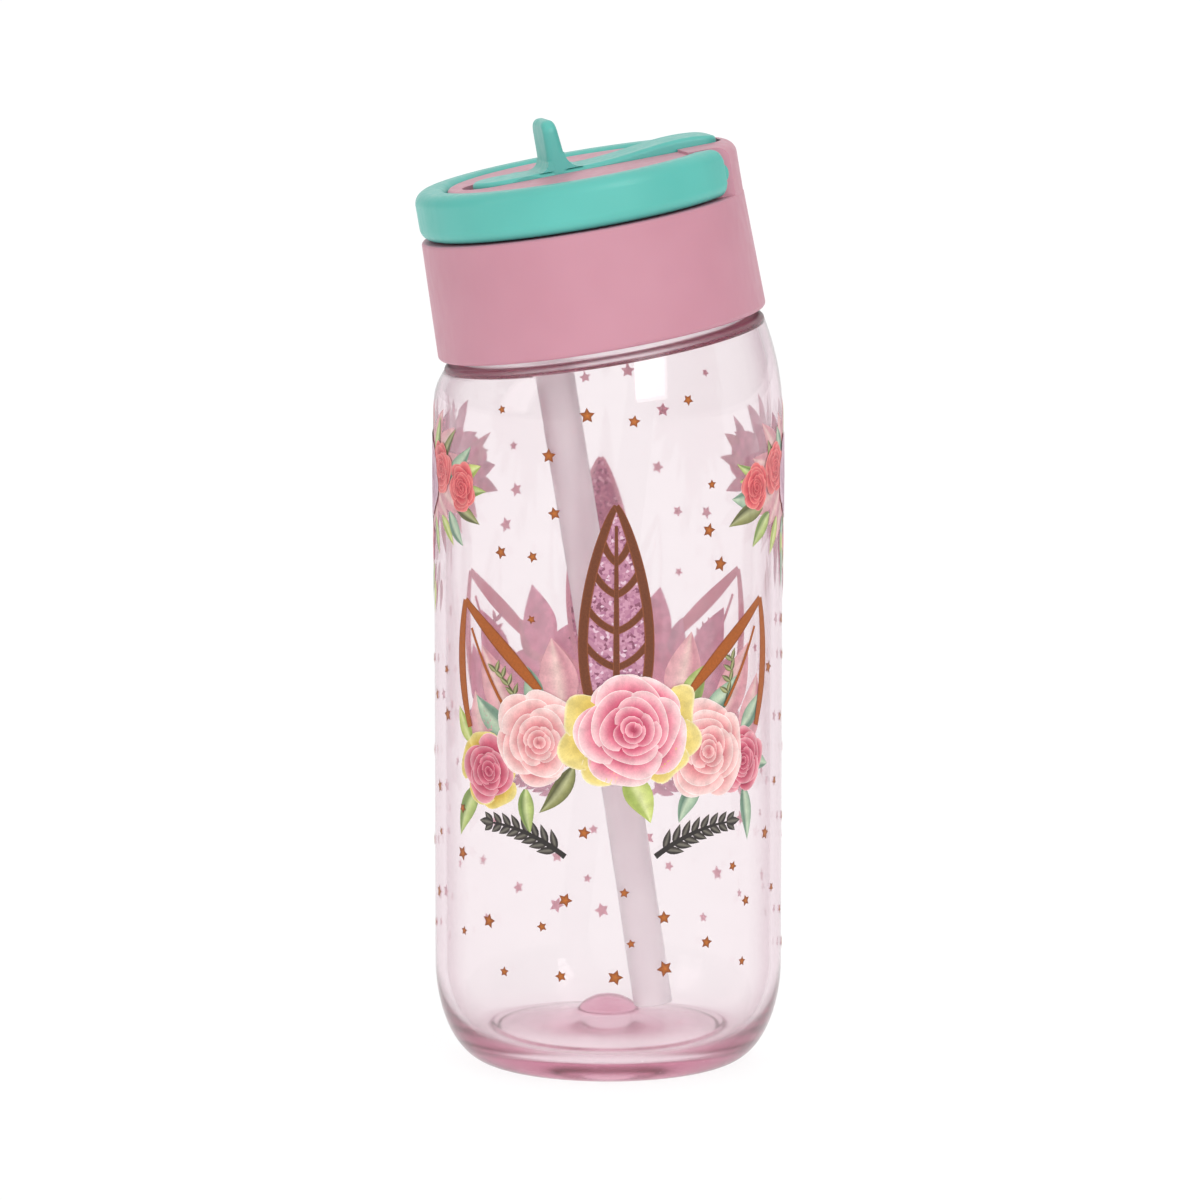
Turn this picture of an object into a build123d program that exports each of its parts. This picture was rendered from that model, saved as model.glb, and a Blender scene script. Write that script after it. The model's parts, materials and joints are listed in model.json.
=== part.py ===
"""Kids water bottle: clear tinted body with a leaning neck, screw cap, carry handle and flip spout.

Millimetres, +Z up. The origin is the centre of the foot ring's plane, and the neck leans towards -X.
Body parts are drawn in that frame. Lid parts are drawn in the lid's own frame, whose origin is
the centre of the cap's lower edge: x runs back to the handle's hinge block, y across the spout
and z up the neck's axis. on_neck() moves a lid part to its place on the bottle.
"""
import os
from math import asin, cos, radians, sin, sqrt

from build123d import *

# ---- Body ---------------------------------------------------------------------------------
BODY_R = 35.0            # straight wall, outside
WALL = 2.25              # straight wall and shoulder thickness
CORNER_TOP = 20.0        # the rounded corner of the base ends in the wall at this height
FOOT_INNER_R = 22.4      # the bottle stands on a flat ring between these two radii
FOOT_OUTER_R = 24.2
RECESS_EDGE_R = 21.2     # the hollow underside curves up from the foot to this radius
RECESS_EDGE = 1.2        # height of the hollow at that radius
RECESS_TOP = 3.2         # height of the hollow at the centre
VALLEY_R = 25.0          # lowest ring of the inside, between wall and raised floor
VALLEY = 5.2
PLATEAU_R = 23.3         # edge of the raised, slightly coned floor
PLATEAU = 6.0
PLATEAU_TOP = 9.3
GATE_DOME_R = 6.4        # small dome that moulding leaves in the middle of the floor
GATE_DOME_HEIGHT = 3.6
WALL_TOP = 123.5         # where the shoulder surface starts

# ---- How the neck leans and where it stands --------------------------------------------------
NECK_TILT = 9.6          # degrees from +Z towards -X
LID_AZIMUTH = 12.0       # degrees that the closed lid is turned about its own axis
NECK_FOOT = (-1.22, 0.0, 147.8)

# ---- Shoulder and neck, heights up the neck's axis --------------------------------------------
SHOULDER_TOP = -2.3
SHOULDER_TOP_R = 32.45
SHOULDER_LEDGE = -1.3
SHOULDER_LEDGE_R = 31.4
SHOULDER_EDGE = 1.1        # rounding between the shoulder and its ledge
SHOULDER_LOW_ARC = 10.0    # profile radius on the low side, under the lean
SHOULDER_HIGH_ARC = 55.0   # profile radius on the high side
CEILING = -3.4             # inside of the shoulder
CEILING_R = 30.6
NECK_R = 29.2
NECK_BORE_R = 26.8
NECK_RIM = 17.0

# ---- Screw thread: quick four-start, right hand -----------------------------------------------
THREAD_STARTS = 4
THREAD_LEAD = 16.0
THREAD_ARC = 60.0          # degrees that one ridge covers
THREAD_HEIGHT = 1.0        # radial
THREAD_ROOT_WIDTH = 1.9
THREAD_CREST_WIDTH = 0.8
NECK_THREAD_START = 6.4    # height of a neck ridge's lower end
THREAD_PLAY = 0.15         # axial gap between the liner's ridge and the neck's ridge above it
THREAD_SINK = 0.3          # how far a ridge's root is sunk into its wall

# ---- Cap -----------------------------------------------------------------------------------
CAP_R = 33.2               # at the skirt's lower edge
CAP_TOP_R = 32.6           # at the ledge
CAP_INNER_R = 31.8
CAP_LOW_EDGE = 0.9         # edge rounding
CAP_TOP_EDGE = 0.6
LEDGE = 23.9               # the carry handle rests on it
LAND = 19.1                # underside of the ledge; the gasket bears on it
HUB_R = 25.8               # rim of the raised deck
HUB_WALL_R = 24.4          # wall under the rim, clear of the swinging handle
HUB_RIM = 1.5
HUB_TOP = 33.4
HUB_SKIN = 1.8
HUB_EDGE = 0.8
BLOCK_R = 32.5             # rear block that holds the handle's hinge
BLOCK_HALF_WIDTH = 16.3
BLOCK_TOP = 33.9
BLOCK_INNER_X = 20.0
BLOCK_EDGE = 2.5           # rounding of the outer top edge
LINER_R = 31.75
LINER_BORE_R = 30.45
LINER_BOTTOM = 1.0
LINER_TOP = 18.9
LINER_FLANGE = 1.5         # inward flange that holds the gasket's edge
GASKET_OUTER_R = 29.3
GASKET_INNER_R = 26.9

# ---- Carry handle ---------------------------------------------------------------------------
HANDLE_BOTTOM = 24.2
HANDLE_TOP = 33.9
HANDLE_OUTER_R = 32.5
HANDLE_INNER_R = 26.2
HANDLE_GAP = 0.3           # between the handle's ends and the block
HINGE_X = 24.8
HINGE_Z = 28.8
HINGE_PIN_R = 2.4
HINGE_PIN_LENGTH = 3.2
HANDLE_OUTER_EDGE = 2.5    # edge rounding
HANDLE_INNER_EDGE = 2.0
HANDLE_END_EDGE = 1.8
HANDLE_HEEL_R = 4.7        # rounding of the handle's ends about the hinge

# ---- Flip spout -----------------------------------------------------------------------------
PIVOT_X = -11.0
PIVOT_Z = 28.4
BARREL_R = 5.8
SPOUT_WIDTH = 12.0
SPOUT_TAIL_X = -20.8
SPOUT_MOUTH_X = 28.7
SPOUT_BOTTOM = 25.8
SPOUT_TOP = 34.2           # top surface over the barrel
SPOUT_DIP = 34.5           # top surface where it starts to rise
SPOUT_DIP_X = 8.0
SPOUT_CREST = 35.7         # top surface near the mouth
SPOUT_CREST_X = 24.6
SPOUT_MOUTH_SLOPE = (1.0, -0.45)
SPOUT_MOUTH_TOP = 34.9
SPOUT_MOUTH_CORNER = 3.0
SPOUT_EDGE = 0.9           # rounding of the top edges
TAIL_THICKNESS = 1.6
TRUNNION_R = 2.5
TRUNNION_LENGTH = 2.6
DRINK_R = 1.7              # drinking channel
TAB_FRONT_X = -6.1         # thumb tab, side towards the tail
TAB_THICKNESS = 2.75       # at its tip
TAB_FOOT_THICKNESS = 4.0   # its back face slopes out towards the spout
TAB_TIP = 44.2
TAB_TIP_R = 1.25           # rounding over the tab's thickness
TAB_TIP_CORNER = 2.5       # rounding of the tab's top corners
TAB_FRONT_FOOT = 2.0       # hollow corners between tab and spout
TAB_BACK_FOOT = 3.4
CORNER_SINK = 1.0          # how far a hollow corner reaches into the tab

# ---- Slot for the spout, seal and straw -------------------------------------------------------
SLOT_HALF_WIDTH = 6.4
SLOT_TAIL_X = -23.0
SLOT_END_X = 29.7
SLOT_END_CORNER = 3.5
SLOT_FLOOR = 25.6
SLOT_SKIN = 1.5
TAIL_SWEEP_R = 11.35       # the tail's tip turns inside this radius
TAIL_WALL_X = -15.0        # wall between the tail's pocket and the seal
SEAL_R = 3.0
SEAL_BOTTOM = 16.0
SOCKET_R = 5.0
SOCKET_BOTTOM = 5.0
CHIMNEY_BOTTOM = 8.0
CHIMNEY_WALL = 1.4
STRAW_R = 3.9
STRAW_WALL = 0.9
STRAW_TOP = 14.3
STRAW_END = -136.3
STRAW_BOW = 1.9            # the straw's lower end bows out by this much

# ---- Vent valve in the slot's floor -------------------------------------------------------------
VENT_X = 8.0
VENT_STEM_R = 1.0
VENT_FLAP_R = 3.4
VENT_FLAP = 0.8            # flap thickness
VENT_BULB_R = 1.5
VENT_RECESS_R = 2.9
VENT_RECESS = 0.6
AIR_HOLE_R = 0.45
AIR_HOLE_Y = 2.2

# ---- Fits -------------------------------------------------------------------------------------
RUNNING = 0.05             # radial clearance of turning fits
SEAT_GAP = 0.05            # gap left between pieces that rest on each other
FAR = 60.0                 # beyond every lid part, for cuts that go right through


def on_neck(shape):
    """Move a shape from the lid's frame to its place on the leaning neck."""
    return Pos(*NECK_FOOT) * Rot(0, -NECK_TILT, 0) * Rot(0, 0, LID_AZIMUTH) * shape


def lid_cylinder(radius, low, high, x=0.0, y=0.0):
    """Upright cylinder between two heights of the lid's frame."""
    return Pos(x, y, (low + high) / 2) * Cylinder(radius, high - low)


def lid_block(x_low, x_high, half_width, z_low, z_high):
    """Box in the lid's frame, centred across the spout."""
    return Pos((x_low + x_high) / 2, 0, (z_low + z_high) / 2) * Box(
        x_high - x_low, 2 * half_width, z_high - z_low
    )


def cross_pin(radius, x, z, y_low, y_high):
    """Cylinder along y, such as a hinge pin or its bore."""
    return Pos(x, (y_low + y_high) / 2, z) * Rot(90, 0, 0) * Cylinder(radius, y_high - y_low)


def tongue(x_low, x_high, half_width, z_low, z_high, corner=0):
    """Upright prism, half-round at x_low and square or with rounded corners at x_high."""
    round_x = x_low + half_width
    straight = Pos((round_x + x_high) / 2, 0) * Rectangle(x_high - round_x, 2 * half_width)
    plan = Pos(round_x, 0) * Circle(half_width) + straight
    if corner:
        plan = fillet(plan.vertices().sort_by(Axis.X)[-2:], corner)
    return Pos(0, 0, z_low) * extrude(plan, amount=z_high - z_low)


# ---- Body -----------------------------------------------------------------------------------
def side_arc(side, radius, end_x, end_z, wall_r):
    """One side of the shoulder's outline: an arc that leaves the straight wall upright.

    Returns a function of 0 to 1 that gives the arc's points.
    """
    inset = wall_r - side * end_x
    rise = sqrt(2 * radius * inset - inset**2)
    sweep = rise / radius
    start_z = end_z - rise

    def point(share):
        angle = asin(sweep) * share
        x = side * (wall_r - radius * (1 - cos(angle)))
        return Vector(x, 0, start_z + radius * sin(angle))

    return point


def neck_point(offset, height):
    """A point of the neck's frame, offset towards +X, in the body's frame."""
    tilt = radians(NECK_TILT)
    x = NECK_FOOT[0] + offset * cos(tilt) - height * sin(tilt)
    z = NECK_FOOT[2] + offset * sin(tilt) + height * cos(tilt)
    return x, z


def shoulder_loft(wall_r, low_arc, high_arc, end_r, end_height, steps=6):
    """Smooth solid from the straight round wall to a tilted circle of the neck's frame."""
    low_x, low_z = neck_point(-end_r, end_height)
    high_x, high_z = neck_point(end_r, end_height)
    low_side = side_arc(-1, low_arc, low_x, low_z, wall_r)
    high_side = side_arc(1, high_arc, high_x, high_z, wall_r)
    sections = [Pos(0, 0, WALL_TOP + lift) * Circle(wall_r) for lift in (-8, -4, 0, 4)]
    for step in range(steps + 1):
        share = step / steps
        low = low_side(share)
        high = high_side(share)
        across = high - low
        depth = wall_r - (wall_r - end_r) * share**2
        plane = Plane(origin=(low + high) / 2, x_dir=across, z_dir=across.cross(Vector(0, 1, 0)))
        sections.append(plane * Ellipse(across.length / 2, depth))
    above_wall = Pos(0, 0, WALL_TOP + BODY_R) * Box(3 * BODY_R, 3 * BODY_R, 2 * BODY_R)
    return loft(sections) & above_wall


def outside_of_base():
    """Solid up to the wall's top: hollow underside, foot ring, rounded corner and straight wall."""
    edge = (RECESS_EDGE_R, RECESS_EDGE)
    foot_depth = FOOT_INNER_R - RECESS_EDGE_R
    corner_width = BODY_R - FOOT_OUTER_R
    with BuildLine() as outline:
        TangentArc((0, RECESS_TOP), edge, tangent=(1, 0))
        EllipticalCenterArc((RECESS_EDGE_R, 0), foot_depth, RECESS_EDGE, 0, arc_size=90)
        Line((FOOT_INNER_R, 0), (FOOT_OUTER_R, 0))
        EllipticalCenterArc((FOOT_OUTER_R, CORNER_TOP), corner_width, CORNER_TOP, 270, arc_size=90)
        Line((BODY_R, CORNER_TOP), (BODY_R, WALL_TOP))
        Line((BODY_R, WALL_TOP), (0, WALL_TOP))
        Line((0, WALL_TOP), (0, RECESS_TOP))
    return revolve(Plane.XZ * make_face(outline.line), Axis.Z)


def inside_of_base():
    """Room inside up to the wall's top, over the valley and the raised floor."""
    inner_r = BODY_R - WALL
    with BuildLine() as outline:
        Line((0, PLATEAU_TOP), (GATE_DOME_R, PLATEAU_TOP))
        Line((GATE_DOME_R, PLATEAU_TOP), (PLATEAU_R, PLATEAU))
        Spline((PLATEAU_R, PLATEAU), (VALLEY_R, VALLEY), tangents=((1, 0), (1, 0)))
        EllipticalCenterArc(
            (VALLEY_R, CORNER_TOP), inner_r - VALLEY_R, CORNER_TOP - VALLEY, 270, arc_size=90
        )
        Line((inner_r, CORNER_TOP), (inner_r, WALL_TOP))
        Line((inner_r, WALL_TOP), (0, WALL_TOP))
        Line((0, WALL_TOP), (0, PLATEAU_TOP))
    room = revolve(Plane.XZ * make_face(outline.line), Axis.Z)
    dome_r = (GATE_DOME_R**2 + GATE_DOME_HEIGHT**2) / (2 * GATE_DOME_HEIGHT)
    return room - Pos(0, 0, PLATEAU_TOP + GATE_DOME_HEIGHT - dome_r) * Sphere(dome_r)


def neck_collar():
    """Shoulder ledge and plain neck, in the neck's frame."""
    with BuildLine() as outline:
        Line((0, SHOULDER_TOP), (SHOULDER_TOP_R, SHOULDER_TOP))
        RadiusArc(
            (SHOULDER_TOP_R, SHOULDER_TOP), (SHOULDER_LEDGE_R, SHOULDER_LEDGE), -SHOULDER_EDGE
        )
        Line((SHOULDER_LEDGE_R, SHOULDER_LEDGE), (NECK_R, SHOULDER_LEDGE))
        Line((NECK_R, SHOULDER_LEDGE), (NECK_R, NECK_RIM))
        Line((NECK_R, NECK_RIM), (0, NECK_RIM))
        Line((0, NECK_RIM), (0, SHOULDER_TOP))
    return revolve(Plane.XZ * make_face(outline.line), Axis.Z)


def thread_ridges(root_r, start_z, outward):
    """Helical ridges, one per start, rising from a wall of radius root_r."""
    crest = root_r + outward * THREAD_HEIGHT
    foot = root_r - outward * THREAD_SINK
    height = THREAD_LEAD * THREAD_ARC / 360
    half_root = THREAD_ROOT_WIDTH / 2
    half_crest = THREAD_CREST_WIDTH / 2
    path = Helix(THREAD_LEAD, height, root_r)
    corners = [(foot, -half_root), (crest, -half_crest), (crest, half_crest), (foot, half_root)]
    section = Plane.XZ * make_face(Polyline(*corners, close=True))
    ridge = sweep(section, path, is_frenet=True)
    ridges = []
    for start in range(THREAD_STARTS):
        ridges.append(Rot(0, 0, 360 * start / THREAD_STARTS) * Pos(0, 0, start_z) * ridge)
    return ridges


def shoulder_and_neck():
    """Sloping shoulder, ledge and leaning neck, hollow inside."""
    outer = shoulder_loft(BODY_R, SHOULDER_LOW_ARC, SHOULDER_HIGH_ARC, SHOULDER_TOP_R, SHOULDER_TOP)
    hollow = shoulder_loft(
        BODY_R - WALL, SHOULDER_LOW_ARC - WALL, SHOULDER_HIGH_ARC - WALL, CEILING_R, CEILING
    )
    bore = on_neck(lid_cylinder(NECK_BORE_R, CEILING - 1, NECK_RIM + 1))
    return outer + on_neck(neck_collar()) - (hollow + bore)


def bottle_body():
    body = (outside_of_base() - inside_of_base()) + shoulder_and_neck()
    for ridge in thread_ridges(NECK_R, NECK_THREAD_START, 1):
        body += on_neck(ridge)
    return body


# ---- Cap ------------------------------------------------------------------------------------
def skirt():
    """Round wall of the cap up to the ledge, with softened edges."""
    ledge_inner_r = HUB_WALL_R - HUB_SKIN
    top_corner = (CAP_TOP_R, LEDGE - CAP_TOP_EDGE)
    top_flat = (CAP_TOP_R - CAP_TOP_EDGE, LEDGE)
    with BuildLine() as outline:
        Line((CAP_INNER_R, 0), (CAP_R - CAP_LOW_EDGE, 0))
        RadiusArc((CAP_R - CAP_LOW_EDGE, 0), (CAP_R, CAP_LOW_EDGE), -CAP_LOW_EDGE)
        Line((CAP_R, CAP_LOW_EDGE), top_corner)
        RadiusArc(top_corner, top_flat, -CAP_TOP_EDGE)
        Line(top_flat, (ledge_inner_r, LEDGE))
        Line((ledge_inner_r, LEDGE), (ledge_inner_r, LAND))
        Line((ledge_inner_r, LAND), (CAP_INNER_R, LAND))
        Line((CAP_INNER_R, LAND), (CAP_INNER_R, 0))
    return revolve(Plane.XZ * make_face(outline.line), Axis.Z)


def deck():
    """Raised round deck: wall, rim and top skin, open below."""
    rim = lid_cylinder(HUB_R, HUB_TOP - HUB_RIM, HUB_TOP)
    rim = fillet(rim.edges().sort_by(Axis.Z)[-1:], HUB_EDGE)
    body = rim + lid_cylinder(HUB_WALL_R, LEDGE - 0.5, HUB_TOP - HUB_RIM)
    return body - lid_cylinder(HUB_WALL_R - HUB_SKIN, LAND, HUB_TOP - HUB_SKIN)


def rear_block():
    """Block between the handle's ends, rounded along its outer top edge."""
    block = lid_cylinder(BLOCK_R, LEDGE - 0.5, BLOCK_TOP)
    block = fillet(block.edges().sort_by(Axis.Z)[-1:], BLOCK_EDGE)
    window = lid_block(BLOCK_INNER_X, BLOCK_R + 1, BLOCK_HALF_WIDTH, 0, BLOCK_TOP + 1)
    return block & window


def spout_walls():
    """Walls that hang from the deck round the spout's slot, the tail's pocket and the seal."""
    half = SLOT_HALF_WIDTH + SLOT_SKIN
    tail_x = SLOT_TAIL_X - SLOT_SKIN
    walls = tongue(tail_x, HUB_WALL_R, half, SLOT_FLOOR - SLOT_SKIN, HUB_TOP - 0.5, SLOT_END_CORNER)
    pocket_bottom = PIVOT_Z - TAIL_SWEEP_R - SLOT_SKIN
    cradle_r = BARREL_R + SLOT_SKIN
    cradle = lid_block(
        PIVOT_X - cradle_r, PIVOT_X + cradle_r, half, PIVOT_Z - cradle_r, HUB_TOP - HUB_RIM
    )
    tail_pocket = tongue(tail_x, TAIL_WALL_X + 1, half, pocket_bottom, SLOT_FLOOR)
    upper = lid_cylinder(SEAL_R + CHIMNEY_WALL, SEAL_BOTTOM - 1, PIVOT_Z - BARREL_R, PIVOT_X)
    lower = lid_cylinder(SOCKET_R + CHIMNEY_WALL, CHIMNEY_BOTTOM, pocket_bottom, PIVOT_X)
    return walls + cradle + tail_pocket + upper + lower


def spout_room():
    """Space taken out of the cap for the spout, its swing, its trunnions, the seal and the socket."""
    room = tongue(SLOT_TAIL_X, SLOT_END_X, SLOT_HALF_WIDTH, SLOT_FLOOR, FAR, SLOT_END_CORNER)
    room += cross_pin(BARREL_R + 2 * RUNNING, PIVOT_X, PIVOT_Z, -SLOT_HALF_WIDTH, SLOT_HALF_WIDTH)
    tail = cross_pin(TAIL_SWEEP_R, PIVOT_X, PIVOT_Z, -SLOT_HALF_WIDTH, SLOT_HALF_WIDTH)
    tail &= lid_block(SLOT_TAIL_X, TAIL_WALL_X, SLOT_HALF_WIDTH, 0, SLOT_FLOOR + 1)
    tail &= tongue(SLOT_TAIL_X, 0, SLOT_HALF_WIDTH, 0, HUB_TOP)
    room += tail
    reach = SLOT_HALF_WIDTH + TRUNNION_LENGTH
    room += cross_pin(TRUNNION_R + RUNNING, PIVOT_X, PIVOT_Z, -reach, reach)
    room += lid_cylinder(SEAL_R + RUNNING, SEAL_BOTTOM - 1, PIVOT_Z, PIVOT_X)
    room += lid_cylinder(SOCKET_R + RUNNING, 0, SEAL_BOTTOM, PIVOT_X)
    return room


def vent_room():
    """Counterbore, stem hole and two air holes in the slot's floor."""
    room = lid_cylinder(VENT_RECESS_R, SLOT_FLOOR - VENT_RECESS, SLOT_FLOOR + 1, VENT_X)
    below = SLOT_FLOOR - SLOT_SKIN - 1
    room += lid_cylinder(VENT_STEM_R + RUNNING, below, SLOT_FLOOR, VENT_X)
    for side in (-1, 1):
        room += lid_cylinder(AIR_HOLE_R, below, SLOT_FLOOR, VENT_X, side * AIR_HOLE_Y)
    return room


def cap_shell():
    boss_reach = SLOT_HALF_WIDTH + TRUNNION_LENGTH + SLOT_SKIN
    trunnion_bosses = cross_pin(TRUNNION_R + SLOT_SKIN, PIVOT_X, PIVOT_Z, -boss_reach, boss_reach)
    shell = skirt() + deck() + rear_block() + spout_walls() + trunnion_bosses
    shell -= spout_room() + vent_room()
    for side in (-1, 1):
        blind_end = side * (BLOCK_HALF_WIDTH - HINGE_PIN_LENGTH)
        mouth = side * (BLOCK_HALF_WIDTH + 1)
        bore_r = HINGE_PIN_R + RUNNING
        shell -= cross_pin(bore_r, HINGE_X, HINGE_Z, min(blind_end, mouth), max(blind_end, mouth))
    return shell


def cap_liner():
    ring = lid_cylinder(LINER_R, LINER_BOTTOM, LINER_TOP)
    ring -= lid_cylinder(LINER_BORE_R, 0, LINER_TOP - LINER_FLANGE)
    ring -= lid_cylinder(GASKET_OUTER_R + HANDLE_GAP, 0, FAR)
    ridge_step = THREAD_ROOT_WIDTH + THREAD_PLAY
    for ridge in thread_ridges(LINER_BORE_R, NECK_THREAD_START - ridge_step, -1):
        ring += ridge
    return ring


def neck_gasket():
    low = NECK_RIM + SEAT_GAP
    high = LAND - SEAT_GAP
    return lid_cylinder(GASKET_OUTER_R, low, high) - lid_cylinder(GASKET_INNER_R, 0, FAR)


# ---- Moving lid parts and drinking path -------------------------------------------------------
def handle_section():
    """Half section of the handle's ring, with rounded edges."""
    middle_r = (HANDLE_INNER_R + HANDLE_OUTER_R) / 2
    middle_z = (HANDLE_BOTTOM + HANDLE_TOP) / 2
    section = Pos(middle_r, middle_z) * Rectangle(
        HANDLE_OUTER_R - HANDLE_INNER_R, HANDLE_TOP - HANDLE_BOTTOM
    )
    section = fillet(section.vertices().sort_by(Axis.X)[:2], HANDLE_INNER_EDGE)
    section = fillet(section.vertices().sort_by(Axis.X)[-2:], HANDLE_OUTER_EDGE)
    return Plane.XZ * section


def carry_handle():
    """C-shaped handle with pins into the block, its heels rounded about the hinge."""
    ring = revolve(handle_section(), Axis.Z)
    ring -= lid_block(0, FAR, BLOCK_HALF_WIDTH + HANDLE_GAP, 0, FAR)
    end_faces = ring.faces().filter_by(Axis.Y)
    ring = fillet(end_faces.edges(), HANDLE_END_EDGE)
    heel = lid_block(HINGE_X, FAR, FAR, 0, HINGE_Z)
    ring -= heel - cross_pin(HANDLE_HEEL_R, HINGE_X, HINGE_Z, -FAR, FAR)
    for side in (-1, 1):
        tip = side * (BLOCK_HALF_WIDTH + HANDLE_GAP - HINGE_PIN_LENGTH)
        root = side * (BLOCK_HALF_WIDTH + HANDLE_GAP + 1)
        ring += cross_pin(HINGE_PIN_R, HINGE_X, HINGE_Z, min(tip, root), max(tip, root))
    return ring


def spout_bar():
    """Mouthpiece and tail seen from the side, with the plan's round and cornered ends."""
    half = SPOUT_WIDTH / 2
    tail_bottom = SPOUT_TOP - TAIL_THICKNESS
    with BuildLine() as outline:
        Line((PIVOT_X, tail_bottom), (SPOUT_TAIL_X, tail_bottom))
        Line((SPOUT_TAIL_X, tail_bottom), (SPOUT_TAIL_X, SPOUT_TOP))
        Line((SPOUT_TAIL_X, SPOUT_TOP), (PIVOT_X, SPOUT_TOP))
        Spline(
            (PIVOT_X, SPOUT_TOP),
            (SPOUT_DIP_X, SPOUT_DIP),
            (SPOUT_CREST_X, SPOUT_CREST),
            (SPOUT_MOUTH_X, SPOUT_MOUTH_TOP),
            tangents=((1, 0), SPOUT_MOUTH_SLOPE),
        )
        Line((SPOUT_MOUTH_X, SPOUT_MOUTH_TOP), (SPOUT_MOUTH_X, SPOUT_BOTTOM))
        Line((SPOUT_MOUTH_X, SPOUT_BOTTOM), (PIVOT_X, SPOUT_BOTTOM))
        Line((PIVOT_X, SPOUT_BOTTOM), (PIVOT_X, tail_bottom))
    side = extrude(Plane.XZ * make_face(outline.line), amount=half, both=True)
    bar = side & tongue(SPOUT_TAIL_X, SPOUT_MOUTH_X, half, 0, FAR, SPOUT_MOUTH_CORNER)
    top_faces = [face for face in bar.faces() if face.normal_at().Z > 0.7]
    top_edges = [edge for face in top_faces for edge in face.edges()]
    rim = [edge for edge in top_edges if abs(edge.center().Y) > 1 or edge.center().X > SPOUT_CREST_X]
    return fillet(rim, SPOUT_EDGE)


def hollow_corner(x, radius, side):
    """Concave fillet piece between the spout's top and a face of the tab at x."""
    ends = sorted((x - side * CORNER_SINK, x + side * radius))
    block = lid_block(*ends, SPOUT_WIDTH / 2, 0, radius)
    half = SPOUT_WIDTH / 2 + 1
    return Pos(0, 0, SPOUT_TOP) * (block - cross_pin(radius, x + side * radius, radius, -half, half))


def thumb_tab():
    """Upright tab across the spout, with a round tip and hollow corners at its foot."""
    bottom = SPOUT_TOP - 1
    foot_x = TAB_FRONT_X + TAB_FOOT_THICKNESS
    side = Polyline(
        (TAB_FRONT_X, bottom), (foot_x, bottom), (TAB_FRONT_X + TAB_THICKNESS, TAB_TIP), (TAB_FRONT_X, TAB_TIP),
        close=True,
    )
    tab = extrude(Plane.XZ * make_face(side), amount=SPOUT_WIDTH / 2, both=True)
    tip_face = tab.faces().sort_by(Axis.Z)[-1]
    tab = fillet(tip_face.edges().filter_by(Axis.X), TAB_TIP_CORNER)
    broad_faces = [face for face in tab.faces() if abs(face.normal_at().X) > 0.9]
    rim = [edge for face in broad_faces for edge in face.edges() if edge.center().Z > bottom + 0.1]
    tab = fillet(rim, TAB_TIP_R)
    lean = (TAB_FOOT_THICKNESS - TAB_THICKNESS) / (TAB_TIP - bottom)
    corner_x = foot_x - lean * (SPOUT_TOP + TAB_BACK_FOOT - bottom)
    tab += hollow_corner(TAB_FRONT_X, TAB_FRONT_FOOT, -1)
    return tab + hollow_corner(corner_x, TAB_BACK_FOOT, 1)


def flip_spout():
    """Mouthpiece, valve barrel, tail, trunnions and thumb tab in one."""
    half = SPOUT_WIDTH / 2
    spout = spout_bar() + cross_pin(BARREL_R, PIVOT_X, PIVOT_Z, -half, half) + thumb_tab()
    reach = half + TRUNNION_LENGTH
    spout += cross_pin(TRUNNION_R, PIVOT_X, PIVOT_Z, -reach, reach)
    return spout - Pos(0, 0, PIVOT_Z) * Rot(0, 90, 0) * Cylinder(DRINK_R, 2 * FAR)


def spout_seal():
    """Silicone tube that bears on the barrel, with the drinking port through it."""
    seal = lid_cylinder(SEAL_R, SEAL_BOTTOM, PIVOT_Z, PIVOT_X)
    seal -= lid_cylinder(DRINK_R, 0, FAR, PIVOT_X)
    return seal - cross_pin(BARREL_R + SEAT_GAP, PIVOT_X, PIVOT_Z, -SPOUT_WIDTH, SPOUT_WIDTH)


def seal_retainer():
    """Hard socket under the seal; the straw pushes into it from below."""
    socket = lid_cylinder(SOCKET_R, SOCKET_BOTTOM, SEAL_BOTTOM - SEAT_GAP, PIVOT_X)
    socket += lid_cylinder(
        SOCKET_R + CHIMNEY_WALL, SOCKET_BOTTOM, CHIMNEY_BOTTOM - SEAT_GAP, PIVOT_X
    )
    socket -= lid_cylinder(DRINK_R, 0, FAR, PIVOT_X)
    return socket - lid_cylinder(STRAW_R + RUNNING, 0, STRAW_TOP + SEAT_GAP, PIVOT_X)


def straw():
    """Straw that is straight in its socket and bows slightly towards its lower end."""
    straight_end = SOCKET_BOTTOM
    middle = (straight_end + STRAW_END) / 2
    path = Line((PIVOT_X, 0, STRAW_TOP), (PIVOT_X, 0, straight_end)) + ThreePointArc(
        (PIVOT_X, 0, straight_end),
        (PIVOT_X - STRAW_BOW / 4, 0, middle),
        (PIVOT_X - STRAW_BOW, 0, STRAW_END),
    )
    wall = Circle(STRAW_R) - Circle(STRAW_R - STRAW_WALL)
    return sweep(Pos(PIVOT_X, 0, STRAW_TOP) * wall, path, transition=Transition.ROUND)


def vent_valve():
    """Small silicone umbrella valve: flap below the slot's floor, stem and holding bulb."""
    floor_bottom = SLOT_FLOOR - SLOT_SKIN
    top = SLOT_FLOOR - 2 * SEAT_GAP
    flap = lid_cylinder(VENT_FLAP_R, floor_bottom - VENT_FLAP, floor_bottom - SEAT_GAP, VENT_X)
    stem = lid_cylinder(VENT_STEM_R, floor_bottom - VENT_FLAP / 2, top, VENT_X)
    bulb = lid_cylinder(VENT_BULB_R, SLOT_FLOOR - VENT_RECESS + SEAT_GAP, top, VENT_X)
    return flap + stem + bulb


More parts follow.
